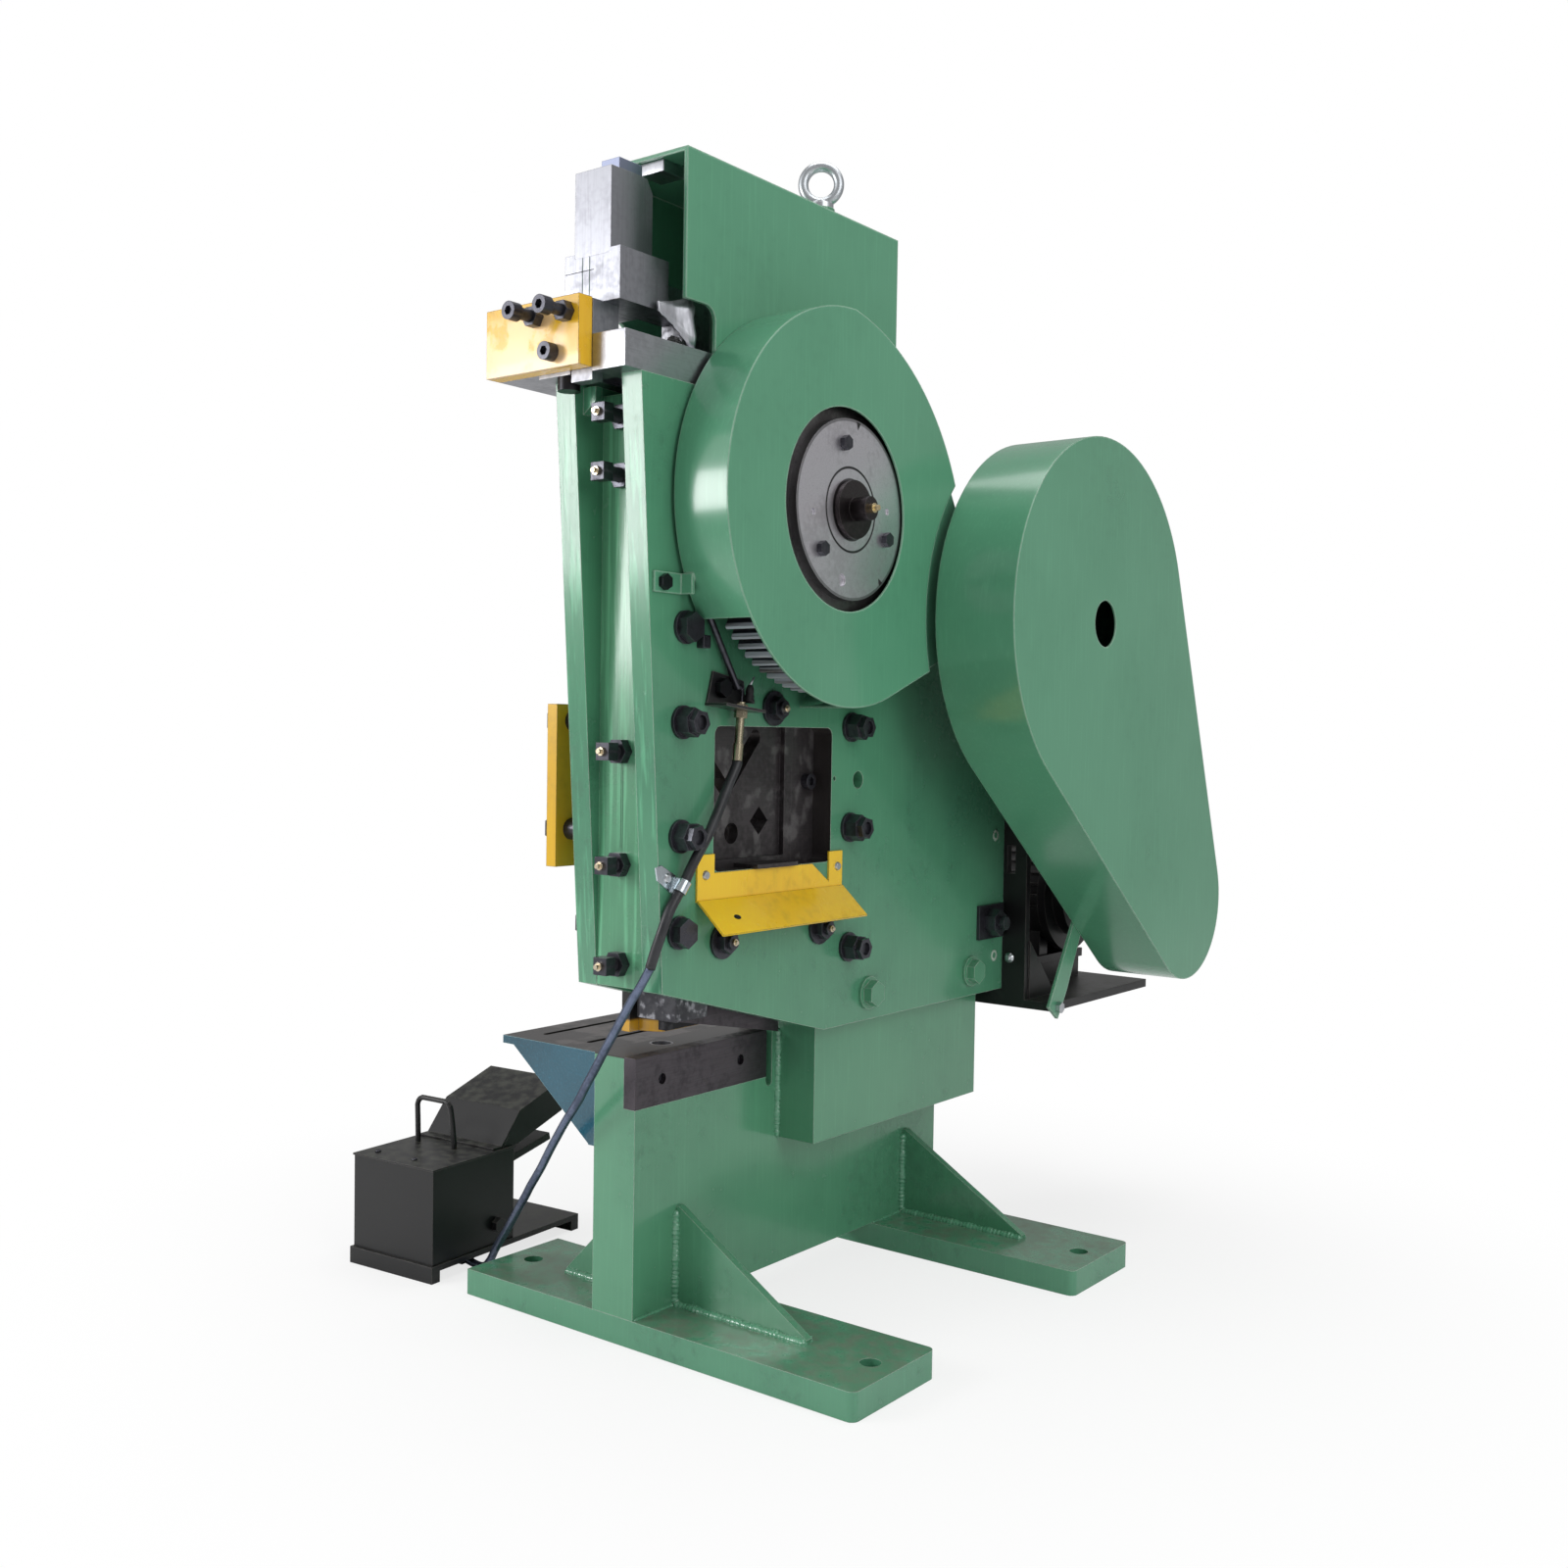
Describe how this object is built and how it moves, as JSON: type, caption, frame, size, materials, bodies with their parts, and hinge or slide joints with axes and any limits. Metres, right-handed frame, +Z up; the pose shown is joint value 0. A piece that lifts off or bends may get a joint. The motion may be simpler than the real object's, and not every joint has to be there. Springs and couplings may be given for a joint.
{
  "type": "mechanical ironworker",
  "caption": "Mechanical ironworker that punches, shears plate and crops profiles, with gear drive, flywheel, motor and a separate foot pedal on a cable.",
  "frame": {"origin": "on the floor, at the centre of the four anchor holes", "axes": "+X is the machine's right, the gear side, +Y is its back, +Z is up"},
  "size_m": [1.0281, 1.459, 1.781],
  "materials": {
    "green_enamel": "glossy green enamel, brushed on thickly",
    "teal_enamel": "glossy blue-green enamel",
    "yellow_enamel": "yellow enamel, chipped at the edges",
    "black_paint": "black paint, satin",
    "black_oxide": "black oxide, lightly oiled",
    "bright_steel": "ground steel, oiled",
    "dark_steel": "dark tool steel, ground",
    "zinc": "bright zinc plate",
    "brass": "plain brass",
    "belt_rubber": "matt belt rubber",
    "sleeve_plastic": "matt black plastic sleeve",
    "conduit_steel": "wound steel conduit, blue-grey",
    "gear_steel": "machined and oiled"
  },
  "bodies": {
    "frame": {"feet": "green_enamel", "foot_gussets": "green_enamel", "base_column": "green_enamel", "carrier_block": "green_enamel", "carrier_bolts": "green_enamel", "side_plate_right": "green_enamel", "side_plate_left": "green_enamel", "front_guide_bar": "green_enamel", "rear_guide_bars": "green_enamel", "eye_bolt": "zinc", "gib_strip": "bright_steel", "gib_screws": "black_oxide", "hex_nuts": "black_oxide", "grease_nipples": "brass", "guide_studs": "black_oxide", "guide_washers": "black_oxide", "top_guide_bars": "bright_steel", "adjuster_plate": "yellow_enamel", "socket_screws": "black_oxide", "top_cover": "green_enamel", "gear_cover": "green_enamel", "belt_guard": "green_enamel", "guard_strap": "green_enamel", "small_screws": "zinc", "shaft_bushes": "brass", "motor_bracket": "black_paint", "motor_body": "black_paint", "v_belts": "belt_rubber", "fixed_profile_knife": "dark_steel", "knife_holder": "dark_steel", "lower_blade": "dark_steel", "die_table": "teal_enamel", "die": "bright_steel", "stripper": "yellow_enamel", "chute": "yellow_enamel", "hold_down_plate": "yellow_enamel", "hold_down_spacers": "black_oxide", "cable_brackets": "black_paint", "cable_fitting": "brass", "cable_sleeve": "sleeve_plastic", "cable_conduit": "conduit_steel", "pedal_base": "black_paint", "pedal_box": "black_paint", "pedal_hood": "black_paint", "pedal_handle": "black_paint"},
    "ram": {"ram": "bright_steel", "ram_head": "bright_steel", "head_block": "bright_steel", "upper_blade": "dark_steel", "moving_profile_knife": "dark_steel", "punch": "bright_steel"},
    "crankshaft": {"eccentric_shaft": "bright_steel"},
    "gear": {"main_gear": "gear_steel", "clutch_disc": "bright_steel", "disc_bolts": "black_oxide"},
    "counter": {"counter_gears": "gear_steel"},
    "wheel": {"flywheel": "gear_steel"},
    "motor_drive": {"motor_pulley": "gear_steel"},
    "trip": {"trip_rod": "black_oxide"},
    "pedal": {"pedal_lever": "black_paint"}
  },
  "joints": [
    {"name": "eccentric_turn", "type": "hinge", "parent": "frame", "child": "crankshaft", "pos_m": [0.009, -0.178, 1.208], "axis": [1, 0, 0], "range_deg": [0, 180]},
    {"name": "ram_slide", "type": "slide", "parent": "frame", "child": "ram", "axis": [0, 0, -1], "range_m": [0, 0.028]},
    {"name": "flywheel_spin", "type": "hinge", "parent": "frame", "child": "wheel", "pos_m": [0.009, 0.332, 1.072], "axis": [1, 0, 0], "continuous": true},
    {"name": "counter_spin", "type": "hinge", "parent": "frame", "child": "counter", "pos_m": [0.009, 0.12364, 1.09822], "axis": [1, 0, 0], "continuous": true},
    {"name": "main_gear_spin", "type": "hinge", "parent": "frame", "child": "gear", "pos_m": [0.14, -0.178, 1.208], "axis": [1, 0, 0], "continuous": true},
    {"name": "motor_spin", "type": "hinge", "parent": "frame", "child": "motor_drive", "pos_m": [0.245, 0.69, 0.588], "axis": [1, 0, 0], "continuous": true},
    {"name": "pedal_press", "type": "hinge", "parent": "frame", "child": "pedal", "pos_m": [-0.54993, -0.26778, 0.059], "axis": [-0.9968, -0.0802, 0], "range_deg": [0, 8], "stiffness_Nm_per_rad": 40, "springref_deg": -8.59},
    {"name": "trip_slide", "type": "slide", "parent": "frame", "child": "trip", "axis": [0, -0.0995, -0.995], "range_m": [0, 0.012]}
  ],
  "couplings": [
    {"joint": "ram_slide", "follows": "eccentric_turn", "m_per_rad": 0.00891},
    {"joint": "counter_spin", "follows": "flywheel_spin", "ratio": -0.25373},
    {"joint": "main_gear_spin", "follows": "flywheel_spin", "ratio": 0.061958},
    {"joint": "motor_spin", "follows": "flywheel_spin", "ratio": 3.342},
    {"joint": "trip_slide", "follows": "pedal_press", "m_per_rad": 0.085}
  ]
}
